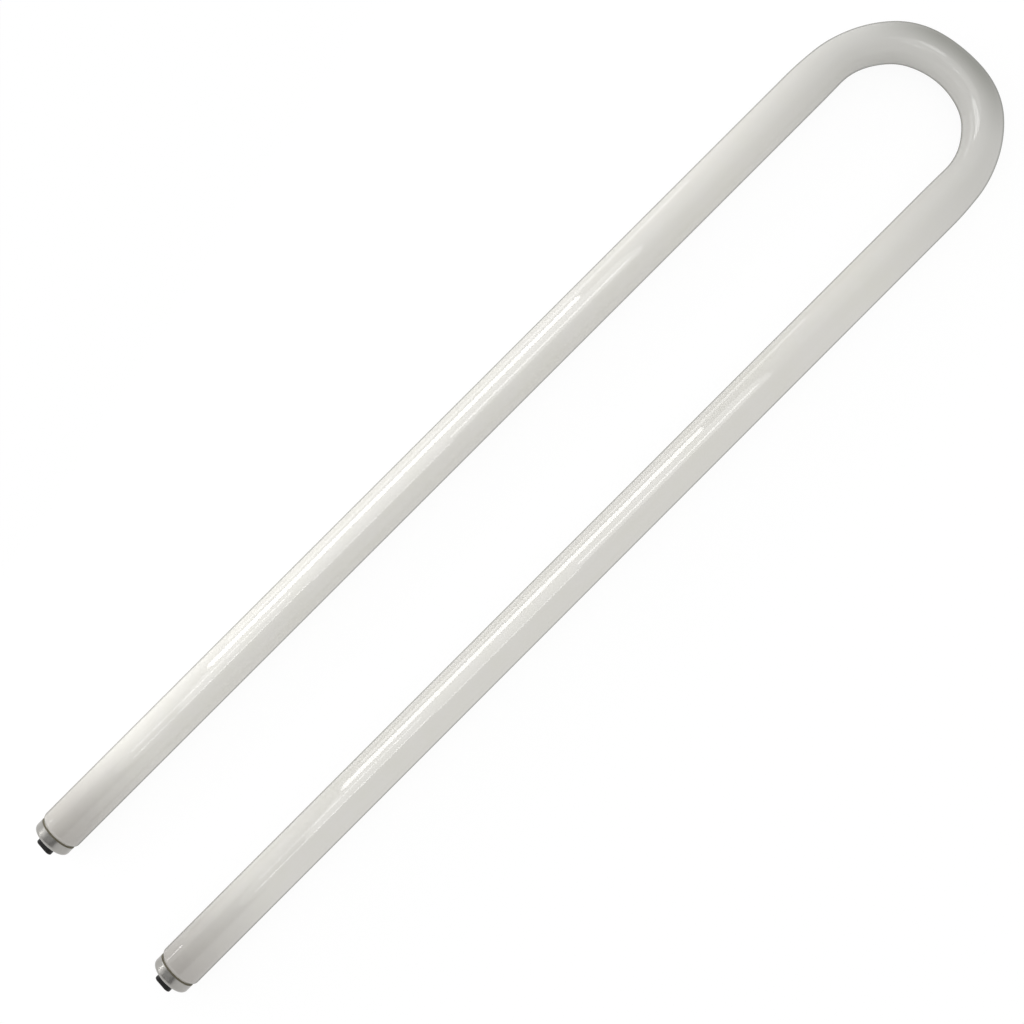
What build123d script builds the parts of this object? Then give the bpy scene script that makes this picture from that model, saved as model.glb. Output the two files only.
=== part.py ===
"""U-bent fluorescent lamp: a 38 mm glass tube bent once, with a recessed double-contact cap on each end.

The lamp lies as on a bench. Its two legs run along Y with the bend at +Y and the caps at -Y, the
plane of the U is level, and the glass rests on Z = 0. The origin is on that surface, under the
middle of the whole lamp. Sizes are in millimetres.
"""
import os
from math import cos, pi, sin

from build123d import *

os.makedirs("parts", exist_ok=True)

# The bulb
tube_diameter = 38.1        # one and a half inches
leg_spacing = 152.4         # six inches between the middles of the legs
leg_length = 912.0          # from the edge of a cap to where the bend starts
neck_run = 28.0             # stretch of each leg that already narrows towards the bend
neck_travel = 32.0          # how far round the bend the tube is narrowest
neck_width = 33.6           # across the tube there, in the plane of the U
flank_width = 34.2          # a third of the way round
crown_width = 32.4          # halfway round
flank_sink = 3.0            # how far the tube lies inside a true half circle, a quarter of the way round
crown_sink = 6.0            # and halfway round
bend_sections = 18          # equal steps round the bend
shoulder_length = 5.0       # where the glass draws in ahead of a cap

# The cap shells
cap_step = 1.3              # how far a cap's side stands inside the tube's side
cap_height = 9.6
cap_corner = 3.5
shell_wall = 0.4

# The basing cement
cement_gap = 0.4            # between the neck of the glass and the shell
bead_length = 2.0           # squeezed out ahead of the shell, over the shoulder
bead_step = 0.1             # how far the bead stands inside the shell's side

# The insulators
boss_width = 8.4
boss_rise = 8.0             # how far the boss stands out of the cap
boss_edge = 0.8
boss_clearance = 0.15       # round the boss and the flange, in the shell
well_wall = 1.3
well_depth = 6.2
web_thickness = 2.2         # between the two wells
flange_thickness = 2.6

# The contacts and their lead wires
contact_clearance = 0.4     # round a contact's head in its well
contact_head = 0.7
contact_dome = 0.35
shank_diameter = 2.2
shank_clearance = 0.05
clinch_step = 0.5           # how far the clinched end spreads past the shank
clinch_thickness = 0.45
wire_diameter = 0.6
wire_clearance = 0.05

# The glass inside the caps
rim_gap = 1.2               # from the rim of the glass to the back of the insulator
rim_radius = 1.2
flare_depth = 16.0          # how deep the funnel is, from the rim
stem_depth = 36.0           # from the rim to the pinch that closes the stem
stem_room = 1.5             # between a lead wire and the wall of the stem
exhaust_room = 1.4          # between a lead wire and the exhaust tip
exhaust_taper = 5.0         # length of the drawn-off tip
exhaust_setback = 3.0       # from the tip to the back of the insulator

# What follows from those sizes
tube_radius = tube_diameter / 2
bend_radius = leg_spacing / 2
half_turn = pi * bend_radius
section_step = half_turn / bend_sections
loft_lead = neck_run + section_step
bend_reach = bend_radius - crown_sink + crown_width / 2

shell_radius = tube_radius - cap_step
shell_bore = shell_radius - shell_wall
neck_radius = shell_bore - cement_gap

wire_radius = wire_diameter / 2
well_radius = boss_width / 2 - well_wall
contact_offset = web_thickness / 2 + well_radius
boss_length = 2 * contact_offset + boss_width
stem_radius = contact_offset + wire_radius + stem_room
exhaust_radius = contact_offset - wire_radius - exhaust_room

# Heights in a cap, outward from its edge
boss_end = cap_height + boss_rise
well_floor = boss_end - well_depth
contact_top = well_floor + contact_head + contact_dome
flange_front = cap_height - shell_wall
flange_back = flange_front - flange_thickness
rim_front = flange_back - rim_gap
rim_start = rim_front - rim_radius
pinch_front = rim_front - stem_depth
exhaust_end = flange_back - exhaust_setback

# Places along the lamp, with the origin at its middle
bend_start = (boss_end + leg_length - bend_reach) / 2
cap_edge = bend_start - leg_length


def turned(*lines):
    """Body of revolution about Z, from a closed outline drawn as radius against height."""
    return revolve(Plane.XZ * make_face(Curve() + list(lines)), Axis.Z)


def eased(travel, stations):
    """Value a way along the tube from the bend's start, eased between the stations; both halves are alike."""
    from_leg = min(travel, half_turn - travel)
    value = stations[0][1]
    for (start, before), (end, after) in zip(stations, stations[1:]):
        share = min(max((from_leg - start) / (end - start), 0), 1)
        value += (after - before) * (1 - cos(pi * share)) / 2
    return value


def tube_section(travel):
    """Oval cross-section of the tube, a way along its middle line from the bend's start."""
    width = eased(travel, [
        (-neck_run, tube_diameter),
        (neck_travel, neck_width),
        (half_turn / 3, flank_width),
        (half_turn / 2, crown_width),
    ])
    offset = eased(travel, [
        (-neck_run, 0),
        (half_turn / 4, -flank_sink),
        (half_turn / 2, -crown_sink),
    ])
    turn = min(max(travel, 0), half_turn) / bend_radius
    outward = Vector(-cos(turn), sin(turn), 0)
    heading = Vector(sin(turn), cos(turn), 0)
    straight = travel - turn * bend_radius
    middle = Vector(0, bend_start, tube_radius) + outward * (bend_radius + offset) + heading * straight
    return Plane(middle, x_dir=outward, z_dir=heading) * Ellipse(width / 2, tube_radius)


def glass_bend():
    """The half turn, which keeps the tube's height and narrows where the bend pulled it in."""
    leg_steps = [-loft_lead, -neck_run - section_step / 2, -neck_run, -neck_run / 2]
    bend_steps = [step * section_step for step in range(bend_sections + 1)]
    far_steps = [half_turn - step for step in reversed(leg_steps)]
    return loft([tube_section(travel) for travel in leg_steps + bend_steps + far_steps])


def glass_leg():
    """A leg, closed at the cap by a shoulder, a neck, a rolled rim and the stem's funnel."""
    foot = -leg_length + loft_lead
    wall_end = (tube_radius, -shoulder_length)
    neck = (neck_radius, 0)
    neck_end = (neck_radius, rim_start)
    rim_top = (neck_radius - rim_radius, rim_front)
    rim_inside = (neck_radius - 2 * rim_radius, rim_start)
    funnel_end = (stem_radius, rim_front - flare_depth)
    return turned(
        Line((0, foot), (tube_radius, foot)),
        Line((tube_radius, foot), wall_end),
        Bezier(wall_end, (tube_radius, -shoulder_length / 2), (neck_radius, -shoulder_length / 2), neck),
        Line(neck, neck_end),
        ThreePointArc(neck_end, rim_top, rim_inside),
        Bezier(rim_inside, (rim_inside[0], rim_start - flare_depth / 4), (stem_radius, rim_start), funnel_end),
        Line(funnel_end, (stem_radius, pinch_front)),
        Line((stem_radius, pinch_front), (0, pinch_front)),
        Line((0, pinch_front), (0, foot)),
    )


def exhaust_tip():
    """The tube the bulb was pumped out through, drawn off and sealed inside the stem."""
    taper_start = exhaust_end - exhaust_taper
    return turned(
        Line((0, pinch_front), (exhaust_radius, pinch_front)),
        Line((exhaust_radius, pinch_front), (exhaust_radius, taper_start)),
        Bezier(
            (exhaust_radius, taper_start),
            (exhaust_radius, taper_start + exhaust_taper / 2),
            (exhaust_radius / 3, exhaust_end),
            (0, exhaust_end),
        ),
        Line((0, exhaust_end), (0, pinch_front)),
    )


def cap_shell():
    """Drawn aluminium cup with a round corner, and the slot that the boss comes out of."""
    outer_corner = (shell_radius, cap_height - cap_corner)
    outer_face = (shell_radius - cap_corner, cap_height)
    inner_face = (shell_radius - cap_corner, flange_front)
    inner_corner = (shell_bore, cap_height - cap_corner)
    cup = turned(
        Line((shell_bore, 0), (shell_radius, 0)),
        Line((shell_radius, 0), outer_corner),
        RadiusArc(outer_corner, outer_face, -cap_corner),
        Line(outer_face, (0, cap_height)),
        Line((0, cap_height), (0, flange_front)),
        Line((0, flange_front), inner_face),
        RadiusArc(inner_face, inner_corner, cap_corner - shell_wall),
        Line(inner_corner, (shell_bore, 0)),
    )
    slot = SlotOverall(boss_length + 2 * boss_clearance, boss_width + 2 * boss_clearance)
    return cup - extrude(slot, amount=cap_height)


def insulator():
    """Phenolic moulding: a flange behind the cap's face, and a boss with two wells in front of it."""
    boss = Pos(0, 0, flange_front) * extrude(SlotOverall(boss_length, boss_width), amount=boss_end - flange_front)
    boss = fillet(boss.edges().group_by(Axis.Z)[-1], boss_edge)
    flange = Pos(0, 0, flange_back) * extrude(Circle(shell_radius - cap_corner - boss_clearance), flange_thickness)
    body = flange + boss
    for side in (-1, 1):
        inner_half = Pos(-side * well_radius / 2, 0) * Rectangle(well_radius, 2 * well_radius)
        well = extrude(Circle(well_radius) + inner_half, amount=well_depth)
        body -= Pos(side * contact_offset, 0, well_floor) * well
        hole = extrude(Circle(shank_diameter / 2 + shank_clearance), amount=well_floor)
        body -= Pos(side * contact_offset, 0, 0) * hole
    return body


def contact():
    """Brass eyelet: a domed head on the floor of its well, and a shank clinched behind the flange."""
    bore = wire_radius + wire_clearance
    shank = shank_diameter / 2
    clinch = shank + clinch_step
    clinch_back = flange_back - clinch_thickness
    head = well_radius - contact_clearance
    head_top = well_floor + contact_head
    return turned(
        Line((bore, clinch_back), (clinch, clinch_back)),
        Line((clinch, clinch_back), (clinch, flange_back)),
        Line((clinch, flange_back), (shank, flange_back)),
        Line((shank, flange_back), (shank, well_floor)),
        Line((shank, well_floor), (head, well_floor)),
        Line((head, well_floor), (head, head_top)),
        Bezier((head, head_top), (head / 2, head_top), (head / 2, contact_top), (bore, contact_top)),
        Line((bore, contact_top), (bore, clinch_back)),
    )


def lead_wire():
    """Wire from the pinch of the stem through the eyelet, finished level with the contact's head."""
    return Pos(0, 0, pinch_front) * extrude(Circle(wire_radius), amount=contact_top - pinch_front)


def cement_ring(glass):
    """Basing cement between the neck and the shell, with a bead along the shell's edge."""
    bead_radius = shell_radius - bead_step
    ring = turned(
        Line((neck_radius, -bead_length), (bead_radius, -bead_length)),
        Line((bead_radius, -bead_length), (bead_radius, 0)),
        Line((bead_radius, 0), (shell_bore, 0)),
        Line((shell_bore, 0), (shell_bore, rim_start)),
        Line((shell_bore, rim_start), (neck_radius, rim_start)),
        Line((neck_radius, rim_start), (neck_radius, -bead_length)),
    )
    return ring - glass


leg = glass_leg() + exhaust_tip()
bulb = glass_bend()
pieces = {}
for name, side in (("left", -1), ("right", 1)):
    end = Location((side * bend_radius, cap_edge, tube_radius), (90, 0, 0))
    bulb += end * leg
    pieces[f"{name}_cap_shell"] = end * cap_shell()
    pieces[f"{name}_insulator"] = end * insulator()
    pieces[f"{name}_cement_ring"] = end * cement_ring(leg)
    for number, inward in ((1, -1), (2, 1)):
        place = end * Pos(inward * contact_offset, 0, 0)
        pieces[f"{name}_contact_{number}"] = place * contact()
        pieces[f"{name}_lead_wire_{number}"] = place * lead_wire()
pieces["glass_tube"] = bulb

for name, piece in pieces.items():
    export_step(piece, f"parts/{name}.step")
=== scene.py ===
"""Looks of a U-bent fluorescent lamp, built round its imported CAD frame. All sizes are in metres."""

from math import cos, pi, sin, tau

import bmesh
import bpy
from mathutils import Matrix, Vector, noise


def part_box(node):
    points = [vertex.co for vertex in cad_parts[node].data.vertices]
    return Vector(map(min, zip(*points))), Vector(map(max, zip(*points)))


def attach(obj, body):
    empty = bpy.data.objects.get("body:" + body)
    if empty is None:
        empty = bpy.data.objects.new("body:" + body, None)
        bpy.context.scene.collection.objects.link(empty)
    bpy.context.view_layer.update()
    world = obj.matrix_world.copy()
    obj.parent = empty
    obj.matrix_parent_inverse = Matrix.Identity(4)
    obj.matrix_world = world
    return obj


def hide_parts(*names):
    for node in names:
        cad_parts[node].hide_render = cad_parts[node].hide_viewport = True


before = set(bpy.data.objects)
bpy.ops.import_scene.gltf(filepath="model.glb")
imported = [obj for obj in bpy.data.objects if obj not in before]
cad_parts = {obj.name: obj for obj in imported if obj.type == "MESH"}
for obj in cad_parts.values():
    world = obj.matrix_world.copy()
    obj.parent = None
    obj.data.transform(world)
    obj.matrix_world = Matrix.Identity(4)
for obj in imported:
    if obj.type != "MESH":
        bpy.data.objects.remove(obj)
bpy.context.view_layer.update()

# The bulb
# A soda-lime glass tube, coated inside with white phosphor, heated and bent once round a former.
# Both ends are sealed onto stems, so one skin runs from the tip inside one cap to the tip in the other.
# It has the CAD bulb's form on finer rings, and each point keeps its place on the tube for the coating.
millimetre = 0.001
tube_radius = 19.05 * millimetre
bend_radius = 76.2 * millimetre
half_turn = pi * bend_radius
neck_run = 28 * millimetre
neck_travel = 32 * millimetre
neck_width = 33.6 * millimetre
flank_width = 34.2 * millimetre
crown_width = 32.4 * millimetre
flank_sink = 3.0 * millimetre
crown_sink = 6.0 * millimetre
cap_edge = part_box("left_cap_shell")[1].y
bend_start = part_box("glass_tube")[1].y - bend_radius + crown_sink - crown_width / 2
leg_length = bend_start - cap_edge
whole_travel = 2 * leg_length + half_turn

shell_radius = 17.75 * millimetre
shell_wall = 0.4 * millimetre
cement_gap = 0.4 * millimetre
shell_bore = shell_radius - shell_wall
neck_radius = shell_bore - cement_gap
shoulder_length = 5 * millimetre
rim_front = 5.4 * millimetre
rim_radius = 1.2 * millimetre
flare_depth = 16 * millimetre
stem_depth = 36 * millimetre
pinch_front = rim_front - stem_depth
stem_radius = 5.8 * millimetre
exhaust_radius = 2.3 * millimetre
exhaust_taper = 5 * millimetre
exhaust_end = 3.6 * millimetre

# How finely the ends, the legs and the bend are drawn
tip_steps = 8
rim_steps = 8
curve_steps = 12
leg_rings = 48
neck_rings = 10
bend_rings = 96


def curve_points(start, control_1, control_2, end, steps):
    """Points of a cubic curve after its start."""
    points = []
    for step in range(1, steps + 1):
        t = step / steps
        weights = ((1 - t) ** 3, 3 * t * (1 - t) ** 2, 3 * t * t * (1 - t), t ** 3)
        corners = (start, control_1, control_2, end)
        points.append(tuple(sum(w * c[axis] for w, c in zip(weights, corners)) for axis in (0, 1)))
    return points


def end_profile():
    """Radius and height outward from the cap's edge, from the exhaust tip to the full tube."""
    taper_start = exhaust_end - exhaust_taper
    rim_start = rim_front - rim_radius
    inside = neck_radius - 2 * rim_radius
    funnel_end = rim_front - flare_depth
    profile = [(0, exhaust_end)]
    profile += curve_points(
        (0, exhaust_end), (exhaust_radius / 3, exhaust_end),
        (exhaust_radius, taper_start + exhaust_taper / 2), (exhaust_radius, taper_start), tip_steps)
    profile += [(exhaust_radius, pinch_front), (stem_radius, pinch_front), (stem_radius, funnel_end)]
    profile += curve_points(
        (stem_radius, funnel_end), (stem_radius, rim_start),
        (inside, rim_start - flare_depth / 4), (inside, rim_start), curve_steps)
    for step in range(1, rim_steps + 1):
        turn = pi * step / rim_steps
        radius = neck_radius - rim_radius * (1 + cos(turn))
        profile.append((radius, rim_start + rim_radius * sin(turn)))
    profile.append((neck_radius, 0))
    profile += curve_points(
        (neck_radius, 0), (neck_radius, -shoulder_length / 2),
        (tube_radius, -shoulder_length / 2), (tube_radius, -shoulder_length), curve_steps)
    return profile


def eased(travel, stations):
    """Value a way along the tube from the bend's start, eased between stations; both halves are alike."""
    from_leg = min(travel, half_turn - travel)
    value = stations[0][1]
    for (start, before), (end, after) in zip(stations, stations[1:]):
        share = min(max((from_leg - start) / (end - start), 0), 1)
        value += (after - before) * (1 - cos(pi * share)) / 2
    return value


def bend_ring(travel):
    """A ring of the bend or of the neck ahead of it, travel being counted from the bend's start."""
    width = eased(travel, (
        (-neck_run, 2 * tube_radius),
        (neck_travel, neck_width),
        (half_turn / 3, flank_width),
        (half_turn / 2, crown_width),
    ))
    offset = eased(travel, (
        (-neck_run, 0),
        (half_turn / 4, -flank_sink),
        (half_turn / 2, -crown_sink),
    ))
    turn = max(travel, 0) / bend_radius
    across = Vector((-cos(turn), sin(turn), 0))
    middle = Vector((0, bend_start + min(travel, 0), tube_radius)) + across * (bend_radius + offset)
    return middle, across, width / 2, tube_radius, leg_length + travel


def tube_rings():
    """Rings along the bulb: middle, way across, half width, half height, travel from the left cap."""
    rings = []
    outward = Vector((-1, 0, 0))
    lead = leg_length - neck_run - shoulder_length
    round_rings = [(radius, -height) for radius, height in end_profile()]
    round_rings += [
        (tube_radius, shoulder_length + lead * step / leg_rings) for step in range(1, leg_rings + 1)]
    for radius, travel in round_rings:
        middle = Vector((-bend_radius, cap_edge + travel, tube_radius))
        rings.append((middle, outward, radius, radius, travel))
    rings += [bend_ring(neck_run * (step / neck_rings - 1)) for step in range(1, neck_rings)]
    rings += [bend_ring(half_turn * step / bend_rings) for step in range(bend_rings // 2 + 1)]
    mirror = Vector((-1, 1, 1))
    for middle, across, half_width, half_height, travel in reversed(rings[:-1]):
        rings.append((middle * mirror, across * mirror, half_width, half_height, whole_travel - travel))
    return rings


def smooth_object(name, mesh):
    """Puts a finished mesh in the scene, shaded smooth, riding on the lamp."""
    for face in mesh.polygons:
        face.use_smooth = True
    piece = bpy.data.objects.new(name, mesh)
    bpy.context.scene.collection.objects.link(piece)
    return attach(piece, "root")


def bulb_mesh(segments=96):
    """Skin over the tube's rings; an attribute holds each point's place round and along the tube."""
    mesh = bpy.data.meshes.new("coated_bulb")
    bm = bmesh.new()
    place_layer = bm.verts.layers.float_vector.new("tube_place")
    loops = []
    for middle, across, half_width, half_height, travel in tube_rings():
        count = segments if half_width else 1
        loop = []
        for number in range(count):
            turn = tau * number / segments
            offset = across * half_width * cos(turn) + Vector((0, 0, half_height * sin(turn)))
            vert = bm.verts.new(middle + offset)
            vert[place_layer] = (tube_radius * cos(turn), tube_radius * sin(turn), travel)
            loop.append(vert)
        loops.append(loop)
    for before, after in zip(loops, loops[1:]):
        for number in range(segments):
            following = (number + 1) % segments
            if len(before) == 1:
                bm.faces.new((before[0], after[following], after[number]))
            elif len(after) == 1:
                bm.faces.new((before[number], before[following], after[0]))
            else:
                bm.faces.new((before[number], before[following], after[following], after[number]))
    bmesh.ops.recalc_face_normals(bm, faces=bm.faces)
    bm.to_mesh(mesh)
    bm.free()
    return mesh


def linear(code):
    """Linear colour, with alpha, from an sRGB hex code."""
    channels = [int(code[start:start + 2], 16) / 255 for start in (0, 2, 4)]
    return tuple(c / 12.92 if c <= 0.04045 else ((c + 0.055) / 1.055) ** 2.4 for c in channels) + (1.0,)


def new_material(name):
    """Empty material with its shader and output joined; gives the material and the shader."""
    material = bpy.data.materials.new(name)
    material.use_nodes = True
    return material, material.node_tree.nodes["Principled BSDF"]


def add_node(tree, kind, settings=(), inputs=(), links=()):
    """Adds a node: settings are its properties, inputs its sockets' values, links what feeds them."""
    made = tree.nodes.new(kind)
    for key, value in dict(settings).items():
        setattr(made, key, value)
    for key, value in dict(inputs).items():
        made.inputs[key].default_value = value
    for key, source in dict(links).items():
        tree.links.new(source, made.inputs[key])
    return made


# Soda-lime glass over a phosphor coating: a milky white body under a clear, hard gloss.
# The gloss shows long streaks of light; the coating is greyer near the cathodes, the tone darker round
# the bend, with painted shade on the bend's outside and a painted grey outline along the edges.
coated_glass, shader = new_material("soda_lime_glass_phosphor_coated")
tree = coated_glass.node_tree
place = add_node(tree, "ShaderNodeAttribute", {"attribute_name": "tube_place"})
split = add_node(tree, "ShaderNodeSeparateXYZ", links={"Vector": place.outputs["Vector"]})
# Distance from the nearer cap's edge, in metres
far_side = add_node(tree, "ShaderNodeMath", {"operation": "SUBTRACT"}, {0: whole_travel},
                    {1: split.outputs["Z"]})
from_cap = add_node(tree, "ShaderNodeMath", {"operation": "MINIMUM"},
                    links={0: split.outputs["Z"], 1: far_side.outputs[0]})
# Runs of the coating as it drained down the tube: 4 mm wide and about 120 mm long
run_width = 4 * millimetre
run_length = 120 * millimetre
run_place = add_node(
    tree, "ShaderNodeVectorMath", {"operation": "MULTIPLY"},
    {1: (1 / run_width, 1 / run_width, 1 / run_length)}, {0: place.outputs["Vector"]})
runs = add_node(tree, "ShaderNodeTexNoise", {}, {"Scale": 1.0, "Detail": 3.0, "Roughness": 0.55},
                {"Vector": run_place.outputs["Vector"]})
# Clouds in the coating, about 25 mm across
cloud_size = 25 * millimetre
clouds = add_node(
    tree, "ShaderNodeTexNoise", {}, {"Scale": 1 / cloud_size, "Detail": 4.0, "Roughness": 0.6},
    {"Vector": place.outputs["Vector"]})
# The grey near a cathode fades out over 120 mm, with an edge that wavers by 30 mm
grey_end = 120 * millimetre
grey_full = -30 * millimetre
waver = 30 * millimetre
cloud_edge = add_node(tree, "ShaderNodeMath", {"operation": "MULTIPLY_ADD"}, {1: waver, 2: -waver / 2},
                      {0: clouds.outputs["Fac"]})
cap_distance = add_node(tree, "ShaderNodeMath", {"operation": "ADD"},
                        links={0: from_cap.outputs[0], 1: cloud_edge.outputs[0]})
cathode_grey = add_node(
    tree, "ShaderNodeMapRange", {"interpolation_type": "SMOOTHSTEP"},
    {"From Min": grey_end, "From Max": grey_full}, {"Value": cap_distance.outputs[0]})
# Towards the bend it greys again, from 150 mm ahead of it to 90 mm round it
bend_grey = add_node(
    tree, "ShaderNodeMapRange", {"interpolation_type": "SMOOTHSTEP"},
    {"From Min": leg_length - 150 * millimetre, "From Max": leg_length + 90 * millimetre},
    {"Value": from_cap.outputs[0]})
run_tone = add_node(
    tree, "ShaderNodeMix", {"data_type": "RGBA"}, {"A": linear("DAD8D2"), "B": linear("DEDCD8")},
    {"Factor": runs.outputs["Fac"]})
cloud_share = add_node(
    tree, "ShaderNodeMapRange", {}, {"From Min": 0.35, "From Max": 0.75, "To Max": 0.5},
    {"Value": clouds.outputs["Fac"]})
cloud_tone = add_node(
    tree, "ShaderNodeMix", {"data_type": "RGBA"}, {"B": linear("D9D8CE")},
    {"Factor": cloud_share.outputs["Result"], "A": run_tone.outputs["Result"]})
bend_tone = add_node(
    tree, "ShaderNodeMix", {"data_type": "RGBA"}, {"B": linear("C8C7C3")},
    {"Factor": bend_grey.outputs["Result"], "A": cloud_tone.outputs["Result"]})
# On the outside of the bend the tone is painted darker: painted shade where that side turns away from the
# light
outside = add_node(
    tree, "ShaderNodeMapRange", {"interpolation_type": "SMOOTHSTEP"},
    {"From Min": -0.75 * tube_radius, "From Max": 0.7 * tube_radius}, {"Value": split.outputs["X"]})
mid_bend = add_node(
    tree, "ShaderNodeMapRange", {"interpolation_type": "SMOOTHSTEP"},
    {"From Min": leg_length + 30 * millimetre, "From Max": leg_length + 105 * millimetre},
    {"Value": from_cap.outputs[0]})
bend_outer_shade = add_node(tree, "ShaderNodeMath", {"operation": "MULTIPLY"},
                     links={0: outside.outputs["Result"], 1: mid_bend.outputs["Result"]})
bend_outer_shade_tone = add_node(
    tree, "ShaderNodeMix", {"data_type": "RGBA"}, {"B": linear("94948E")},
    {"Factor": bend_outer_shade.outputs[0], "A": bend_tone.outputs["Result"]})
end_tone = add_node(
    tree, "ShaderNodeMix", {"data_type": "RGBA"}, {"B": linear("AAA6A1")},
    {"Factor": cathode_grey.outputs["Result"], "A": bend_outer_shade_tone.outputs["Result"]})
# The clear wall of the tube, seen edge on past the coating, is painted as a thin grey outline: painted
# shade in the base colour, set by how nearly edge on the surface is seen
edge_on = add_node(tree, "ShaderNodeLayerWeight", {}, {"Blend": 0.5})
painted_outline_share = add_node(
    tree, "ShaderNodeMapRange", {"interpolation_type": "SMOOTHSTEP"},
    {"From Min": 0.6, "From Max": 0.85, "To Max": 0.85}, {"Value": edge_on.outputs["Facing"]})
painted_outline_tone = add_node(
    tree, "ShaderNodeMix", {"data_type": "RGBA"}, {"B": linear("68685F")},
    {"Factor": painted_outline_share.outputs["Result"], "A": end_tone.outputs["Result"]})
tree.links.new(painted_outline_tone.outputs["Result"], shader.inputs["Base Color"])
# The gloss is weaker along that outline, and over the bend, which lost some polish in the heating
bend_loss = add_node(tree, "ShaderNodeMath", {"operation": "MULTIPLY"}, {1: 0.5},
                     {0: bend_grey.outputs["Result"]})
edge_loss = add_node(tree, "ShaderNodeMath", {"operation": "MULTIPLY"}, {1: 0.7},
                     {0: painted_outline_share.outputs["Result"]})
polish_lost = add_node(tree, "ShaderNodeMath", {"operation": "MAXIMUM"},
                       links={0: bend_loss.outputs[0], 1: edge_loss.outputs[0]})
polish = add_node(tree, "ShaderNodeMath", {"operation": "SUBTRACT"}, {0: 1.0},
                  {1: polish_lost.outputs[0]})
tree.links.new(polish.outputs[0], shader.inputs["Coat Weight"])
# Drawn glass is not quite straight: long ridges, 6 mm wide, too faint to show from far off
ridge_width = 6 * millimetre
ridge_length = 200 * millimetre
ridge_height = 0.01 * millimetre
ridge_place = add_node(
    tree, "ShaderNodeVectorMath", {"operation": "MULTIPLY"},
    {1: (1 / ridge_width, 1 / ridge_width, 1 / ridge_length)}, {0: place.outputs["Vector"]})
ridge_noise = add_node(tree, "ShaderNodeTexNoise", {}, {"Scale": 1.0, "Detail": 1.0, "Roughness": 0.4},
                       {"Vector": ridge_place.outputs["Vector"]})
ridges = add_node(tree, "ShaderNodeBump", {}, {"Strength": 0.5, "Distance": ridge_height},
                  {"Height": ridge_noise.outputs["Fac"]})
tree.links.new(ridges.outputs["Normal"], shader.inputs["Coat Normal"])
# Handling leaves the polish a little duller here and there, in the same places as the clouds
smears = add_node(
    tree, "ShaderNodeMapRange", {}, {"From Min": 0.35, "From Max": 0.7, "To Min": 0.02, "To Max": 0.05},
    {"Value": clouds.outputs["Fac"]})
tree.links.new(smears.outputs["Result"], shader.inputs["Coat Roughness"])
shader.inputs["Roughness"].default_value = 0.7
shader.inputs["IOR"].default_value = 1.5
shader.inputs["Specular IOR Level"].default_value = 0.0
shader.inputs["Coat IOR"].default_value = 1.52

bulb = smooth_object("coated_bulb", bulb_mesh())
bulb.data.materials.append(coated_glass)
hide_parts("glass_tube")

# The basing cement
# Resin cement, baked in the gap between the neck of the glass and the cap shell.
# What was squeezed out lies as an uneven bead ahead of the shell, browned by the baking.
bead_radius = shell_radius - 0.1 * millimetre
bead_length = 2.0 * millimetre
cement_end = 4.2 * millimetre
bead_inner_step = 0.35 * millimetre      # how far the bead's tip stands off the neck
bead_outer_step = 0.12 * millimetre      # and how far its shoulder lies inside its side
neck_seat = 0.3 * millimetre             # how far it runs along the neck ahead of the shell


def cement_mesh(name, middle_x, seed, segments=144):
    """Ring with a lumpy front edge; it fills the gap behind the shell's edge."""
    mesh = bpy.data.meshes.new(name)
    bm = bmesh.new()
    loops = []
    for number in range(segments):
        turn = tau * number / segments
        # Big lumps with smaller ones on them; they change how far the bead reaches and how full it is
        spot = Vector((cos(turn) * 2.2, sin(turn) * 2.2, seed))
        lump = noise.noise(spot * 2.4) * 0.6 + noise.noise(spot * 7) * 0.4
        reach = bead_length * (0.72 + 0.25 * lump)
        swell = bead_radius * (0.995 + 0.005 * lump)
        outline = (
            (neck_radius, cement_end),
            (neck_radius, -neck_seat),
            (neck_radius + bead_inner_step, -reach),
            (0.5 * (neck_radius + swell), -reach * 0.98),
            (swell - bead_outer_step, -reach * 0.72),
            (swell, -reach * 0.35),
            (swell, 0),
            (shell_bore, 0),
            (shell_bore, cement_end),
        )
        loop = []
        for radius, height in outline:
            x = middle_x + radius * cos(turn)
            z = tube_radius + radius * sin(turn)
            loop.append(bm.verts.new((x, cap_edge - height, z)))
        loops.append(loop)
    for before, after in zip(loops, loops[1:] + loops[:1]):
        for number in range(len(before)):
            following = (number + 1) % len(before)
            bm.faces.new((before[number], after[number], after[following], before[following]))
    bmesh.ops.recalc_face_normals(bm, faces=bm.faces)
    bm.to_mesh(mesh)
    bm.free()
    return mesh


# Baked basing cement: matt, grainy and olive brown, darker in its pits.
cement, shader = new_material("basing_cement_baked")
tree = cement.node_tree
place = add_node(tree, "ShaderNodeTexCoord")
grain_size = 0.5 * millimetre
grain = add_node(
    tree, "ShaderNodeTexNoise", {}, {"Scale": 1 / grain_size, "Detail": 5.0, "Roughness": 0.65},
    {"Vector": place.outputs["Object"]})
cement_tone = add_node(
    tree, "ShaderNodeMix", {"data_type": "RGBA"}, {"A": linear("3E3A2E"), "B": linear("706A54")},
    {"Factor": grain.outputs["Fac"]})
grit = add_node(tree, "ShaderNodeBump", {}, {"Strength": 0.8, "Distance": 0.1 * millimetre},
                {"Height": grain.outputs["Fac"]})
tree.links.new(cement_tone.outputs["Result"], shader.inputs["Base Color"])
tree.links.new(grit.outputs["Normal"], shader.inputs["Normal"])
shader.inputs["Roughness"].default_value = 0.85
shader.inputs["IOR"].default_value = 1.5

for side, middle_x, seed in (("left", -bend_radius, 3.0), ("right", bend_radius, 11.0)):
    ring = smooth_object(f"{side}_cement_bead", cement_mesh(f"{side}_cement_bead", middle_x, seed))
    ring.data.materials.append(cement)
    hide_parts(f"{side}_cement_ring")

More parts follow.
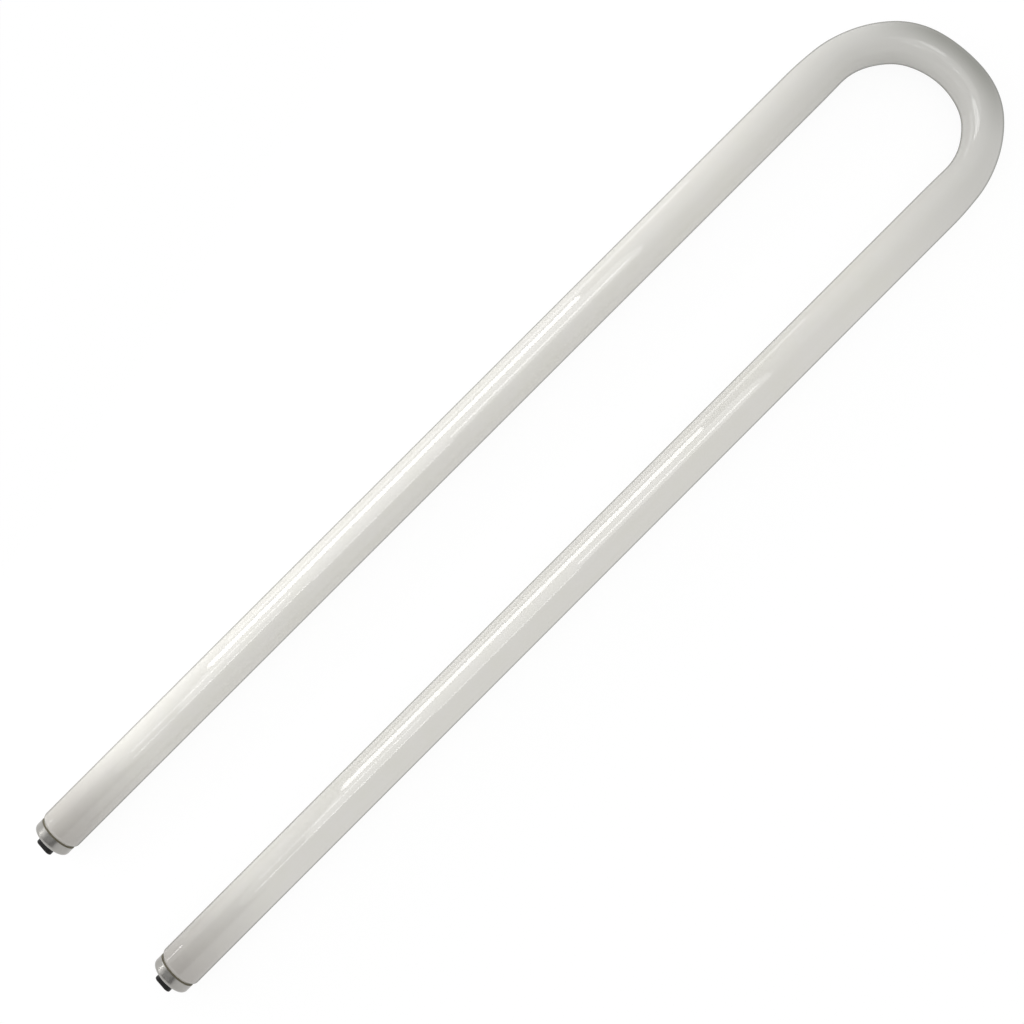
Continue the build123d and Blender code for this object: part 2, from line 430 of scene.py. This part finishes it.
# The cap shells
# Drawn aluminium cups, 35.5 mm across, cemented over the necks of the glass.
# The CAD cups keep their shape. Handling dulled the metal, and the drawing die left fine marks round it.
cap_metal, shader = new_material("aluminium_drawn_dull")
tree = cap_metal.node_tree
place = add_node(tree, "ShaderNodeTexCoord")
# Die marks run round the cup, so they change along Y: 0.25 mm apart, drawn coarser than life to show
mark_spacing = 0.25 * millimetre
mark_change = 12.0      # along them, in noise units a metre: hardly any over a cup
mark_place = add_node(
    tree, "ShaderNodeVectorMath", {"operation": "MULTIPLY"},
    {1: (mark_change, 1 / mark_spacing, mark_change)}, {0: place.outputs["Object"]})
marks = add_node(tree, "ShaderNodeTexNoise", {}, {"Scale": 1.0, "Detail": 3.0, "Roughness": 0.6},
                 {"Vector": mark_place.outputs["Vector"]})
# Dull patches where fingers and sockets rubbed the metal, about 5 mm across
patch_size = 5 * millimetre
patches = add_node(
    tree, "ShaderNodeTexNoise", {}, {"Scale": 1 / patch_size, "Detail": 5.0, "Roughness": 0.65},
    {"Vector": place.outputs["Object"]})
metal_tone = add_node(
    tree, "ShaderNodeMix", {"data_type": "RGBA"}, {"A": linear("989692"), "B": linear("AEACA8")},
    {"Factor": patches.outputs["Fac"]})
metal_gloss = add_node(
    tree, "ShaderNodeMapRange", {}, {"From Min": 0.3, "From Max": 0.7, "To Min": 0.28, "To Max": 0.34},
    {"Value": patches.outputs["Fac"]})
die_marks = add_node(tree, "ShaderNodeBump", {}, {"Strength": 0.3, "Distance": 0.01 * millimetre},
                     {"Height": marks.outputs["Fac"]})
tree.links.new(metal_tone.outputs["Result"], shader.inputs["Base Color"])
tree.links.new(metal_gloss.outputs["Result"], shader.inputs["Roughness"])
tree.links.new(die_marks.outputs["Normal"], shader.inputs["Normal"])
shader.inputs["Metallic"].default_value = 1.0


def dress(node, material):
    """Gives a CAD node its finish in place of the plain one it came with."""
    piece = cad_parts[node]
    piece.data.materials.clear()
    piece.data.materials.append(material)


for side in ("left", "right"):
    dress(f"{side}_cap_shell", cap_metal)

# The insulators
# Black phenolic mouldings, held behind the face of each cup; the oblong boss comes out through its slot.
# Wood flour in the moulding gives a fine grain.
phenolic, shader = new_material("phenolic_moulded_black")
tree = phenolic.node_tree
place = add_node(tree, "ShaderNodeTexCoord")
flour_size = 0.6 * millimetre
flour = add_node(
    tree, "ShaderNodeTexNoise", {}, {"Scale": 1 / flour_size, "Detail": 4.0, "Roughness": 0.6},
    {"Vector": place.outputs["Object"]})
phenolic_tone = add_node(
    tree, "ShaderNodeMix", {"data_type": "RGBA"}, {"A": linear("0A0A09"), "B": linear("1A1918")},
    {"Factor": flour.outputs["Fac"]})
phenolic_gloss = add_node(
    tree, "ShaderNodeMapRange", {}, {"From Min": 0.3, "From Max": 0.7, "To Min": 0.34, "To Max": 0.5},
    {"Value": flour.outputs["Fac"]})
mould_grain = add_node(tree, "ShaderNodeBump", {}, {"Strength": 0.4, "Distance": 0.03 * millimetre},
                       {"Height": flour.outputs["Fac"]})
tree.links.new(phenolic_tone.outputs["Result"], shader.inputs["Base Color"])
tree.links.new(phenolic_gloss.outputs["Result"], shader.inputs["Roughness"])
tree.links.new(mould_grain.outputs["Normal"], shader.inputs["Normal"])
shader.inputs["IOR"].default_value = 1.6
shader.inputs["Specular IOR Level"].default_value = 0.2

for side in ("left", "right"):
    dress(f"{side}_insulator", phenolic)

# The contacts
# Tinned brass eyelets at the bottom of the two wells in each boss, clinched behind the moulding.
# Tin dulls to a soft grey, and brass shows through where a lamp holder's contact has rubbed.
tinned_brass, shader = new_material("brass_stamped_tinned")
tree = tinned_brass.node_tree
place = add_node(tree, "ShaderNodeTexCoord")
rub_size = 1.2 * millimetre
rubs = add_node(tree, "ShaderNodeTexNoise", {}, {"Scale": 1 / rub_size, "Detail": 4.0, "Roughness": 0.6},
                {"Vector": place.outputs["Object"]})
rub_share = add_node(tree, "ShaderNodeMapRange", {}, {"From Min": 0.48, "From Max": 0.62},
                     {"Value": rubs.outputs["Fac"]})
contact_tone = add_node(
    tree, "ShaderNodeMix", {"data_type": "RGBA"}, {"A": linear("B8B4A8"), "B": linear("C2A368")},
    {"Factor": rub_share.outputs["Result"]})
contact_gloss = add_node(
    tree, "ShaderNodeMapRange", {}, {"From Min": 0.3, "From Max": 0.7, "To Min": 0.25, "To Max": 0.4},
    {"Value": rubs.outputs["Fac"]})
tree.links.new(contact_tone.outputs["Result"], shader.inputs["Base Color"])
tree.links.new(contact_gloss.outputs["Result"], shader.inputs["Roughness"])
shader.inputs["Metallic"].default_value = 1.0

# The lead wires
# Nickel-iron wires from the stem, trimmed level with the eyelets' heads and welded there.
# Drawn wire has a warm grey, part-oxidised skin.
lead_metal, shader = new_material("nickel_iron_wire_drawn")
tree = lead_metal.node_tree
place = add_node(tree, "ShaderNodeTexCoord")
oxide_size = 1.5 * millimetre
oxide = add_node(tree, "ShaderNodeTexNoise", {}, {"Scale": 1 / oxide_size, "Detail": 3.0},
                 {"Vector": place.outputs["Object"]})
wire_tone = add_node(
    tree, "ShaderNodeMix", {"data_type": "RGBA"}, {"A": linear("8F867C"), "B": linear("B3ABA1")},
    {"Factor": oxide.outputs["Fac"]})
tree.links.new(wire_tone.outputs["Result"], shader.inputs["Base Color"])
shader.inputs["Roughness"].default_value = 0.35
shader.inputs["Metallic"].default_value = 1.0

for side in ("left", "right"):
    for number in (1, 2):
        dress(f"{side}_contact_{number}", tinned_brass)
        dress(f"{side}_lead_wire_{number}", lead_metal)

# The table
# A white studio table that keeps a soft shadow. What the camera and reflections see of it is white;
# the rest of the light bounces off it as off pale paint.
table_size = 30.0
table_drop = 0.2 * millimetre


def flat_sheet(name, size, material):
    """Square sheet of one face, level at the origin."""
    mesh = bpy.data.meshes.new(name)
    bm = bmesh.new()
    bmesh.ops.create_grid(bm, x_segments=1, y_segments=1, size=size / 2)
    bm.to_mesh(mesh)
    bm.free()
    mesh.materials.append(material)
    sheet = bpy.data.objects.new(name, mesh)
    bpy.context.scene.collection.objects.link(sheet)
    return sheet


white_paint, shader = new_material("white_table_paint")
tree = white_paint.node_tree
output = tree.nodes["Material Output"]
tree.nodes.remove(shader)
rays = add_node(tree, "ShaderNodeLightPath")
sharp_rays = add_node(tree, "ShaderNodeMath", {"operation": "MAXIMUM"},
                      links={0: rays.outputs["Is Camera Ray"], 1: rays.outputs["Is Glossy Ray"]})
seen_rays = add_node(tree, "ShaderNodeMath", {"operation": "MAXIMUM"},
                     links={0: sharp_rays.outputs[0], 1: rays.outputs["Is Transmission Ray"]})
paint = add_node(tree, "ShaderNodeBsdfDiffuse", {}, {"Color": linear("E4E4E2")})
shade = add_node(tree, "ShaderNodeBsdfDiffuse", {}, {"Color": linear("555555")})
glow = add_node(tree, "ShaderNodeEmission", {}, {"Color": linear("FFFFFF"), "Strength": 0.92})
seen_table = add_node(tree, "ShaderNodeAddShader", {}, {}, {0: shade.outputs[0], 1: glow.outputs[0]})
table_mix = add_node(tree, "ShaderNodeMixShader", {}, {},
                     {0: seen_rays.outputs[0], 1: paint.outputs[0], 2: seen_table.outputs[0]})
tree.links.new(table_mix.outputs[0], output.inputs["Surface"])

floor = flat_sheet("studio_table", table_size, white_paint)
floor.location.z = -table_drop

# The light
# A pale studio round the lamp, a little dimmer overhead.
world = bpy.data.worlds.new("pale_studio")
bpy.context.scene.world = world
world.use_nodes = True
tree = world.node_tree
background = tree.nodes["Background"]
direction = add_node(tree, "ShaderNodeTexCoord")
height = add_node(tree, "ShaderNodeSeparateXYZ", links={"Vector": direction.outputs["Generated"]})
dome = add_node(
    tree, "ShaderNodeMapRange", {"interpolation_type": "SMOOTHSTEP"},
    {"From Min": 0.0, "From Max": 0.9, "To Min": 1.0, "To Max": 0.85}, {"Value": height.outputs["Z"]})
tree.links.new(dome.outputs["Result"], background.inputs["Strength"])
background.inputs["Color"].default_value = linear("FFFFFF")


def area_light(name, place, aim, across, length, power, seen_in):
    """Rectangular light seen in the shade or in the gloss; length is along Y, across square to it."""
    lamp = bpy.data.lights.new(name, "AREA")
    lamp.shape = "RECTANGLE"
    lamp.size = across
    lamp.size_y = length
    lamp.energy = power
    light = bpy.data.objects.new(name, lamp)
    bpy.context.scene.collection.objects.link(light)
    forward = (Vector(aim) - Vector(place)).normalized()
    along = Vector((0, 1, 0))
    side = along.cross(-forward).normalized()
    up = (-forward).cross(side)
    light.matrix_world = Matrix.Translation(place) @ Matrix((side, up, -forward)).transposed().to_4x4()
    light.visible_diffuse = seen_in == "shade"
    light.visible_glossy = seen_in == "gloss"
    light.visible_camera = False


def at_angle(degrees, distance, y):
    """A point that far from the middle of the left leg, tilted from straight up towards -X."""
    turn = degrees * pi / 180
    return Vector((-bend_radius - distance * sin(turn), y, tube_radius + distance * cos(turn)))


# A long reflector close on the left lights that side of the tubes, so they shade off to the right
left_leg = (-bend_radius, 0.0, tube_radius)
area_light("reflector_left", at_angle(60, 0.24, -0.05), left_leg,
           across=0.08, length=2.0, power=0.97, seen_in="shade")
# A window far off gives the long bright streak, and a paler one lower down brightens the left sides
area_light("window_left", at_angle(47.7, 2.0, -0.14), left_leg,
           across=0.8, length=1.13, power=20, seen_in="gloss")
area_light("window_low", at_angle(79, 2.0, 0.055), left_leg,
           across=0.55, length=1.41, power=4.2, seen_in="gloss")
# A short strip near the caps gives their metal its highlight
left_cap = (-bend_radius, cap_edge, tube_radius)
area_light("strip_caps", at_angle(60, 0.8, -0.95), left_cap,
           across=0.05, length=0.3, power=0.5, seen_in="gloss")
# A pale ceiling panel, whose edge is reflected along the middle of each leg
straight_down = Vector((0, 0, -1))
panel_place = Vector((-0.37, -0.102, 1.56))
area_light("ceiling_panel", panel_place, panel_place + straight_down,
           across=1.4, length=1.204, power=9.6, seen_in="gloss")
# Four short ceiling tubes: place across, where each starts and ends, its width and its power
ceiling_height = 1.52
for number, (x, start, end, across, power) in enumerate((
    (-0.506, -0.83, -0.41, 0.08, 0.65),
    (0.298, -0.83, -0.37, 0.08, 0.70),
    (0.430, -0.37, 0.00, 0.15, 0.70),
    (-0.128, 0.00, 0.46, 0.20, 1.20),
), start=1):
    tube_place = Vector((x, (start + end) / 2, ceiling_height))
    area_light(f"ceiling_tube_{number}", tube_place, tube_place + straight_down,
               across, end - start, power, seen_in="gloss")

# A black card over the caps, seen only in the gloss, gives the metal its dark middle
black_felt, shader = new_material("black_felt_card")
shader.inputs["Base Color"].default_value = linear("303030")
shader.inputs["Roughness"].default_value = 1.0
card = flat_sheet("black_card", 1.0, black_felt)
card.location = (0.06, -0.84, 0.72)
card.scale = (1.05, 0.44, 1.0)
card.visible_camera = False
card.visible_diffuse = False
card.visible_shadow = False

# The camera
# Above the middle of the lamp and to its right, looking down, as fitted to the lamp's outline.
picture_width = 1024      # pixels
focal_length = 1500       # pixels of that picture
sensor_width = 36.0
camera_data = bpy.data.cameras.new("camera")
camera_data.sensor_width = sensor_width
camera_data.lens = sensor_width * focal_length / picture_width
camera = bpy.data.objects.new("camera", camera_data)
bpy.context.scene.collection.objects.link(camera)
view_right = Vector((0.695946, 0.707142, -0.124936))
view_down = Vector((0.693698, -0.707013, -0.137534))
view_back = view_right.cross(-view_down)
view_place = (0.23526, -0.04232, 1.24528)
view_axes = Matrix((view_right, -view_down, view_back)).transposed()
camera.matrix_world = Matrix.Translation(view_place) @ view_axes.to_4x4()
bpy.context.scene.camera = camera
bpy.context.scene.view_settings.view_transform = "Standard"
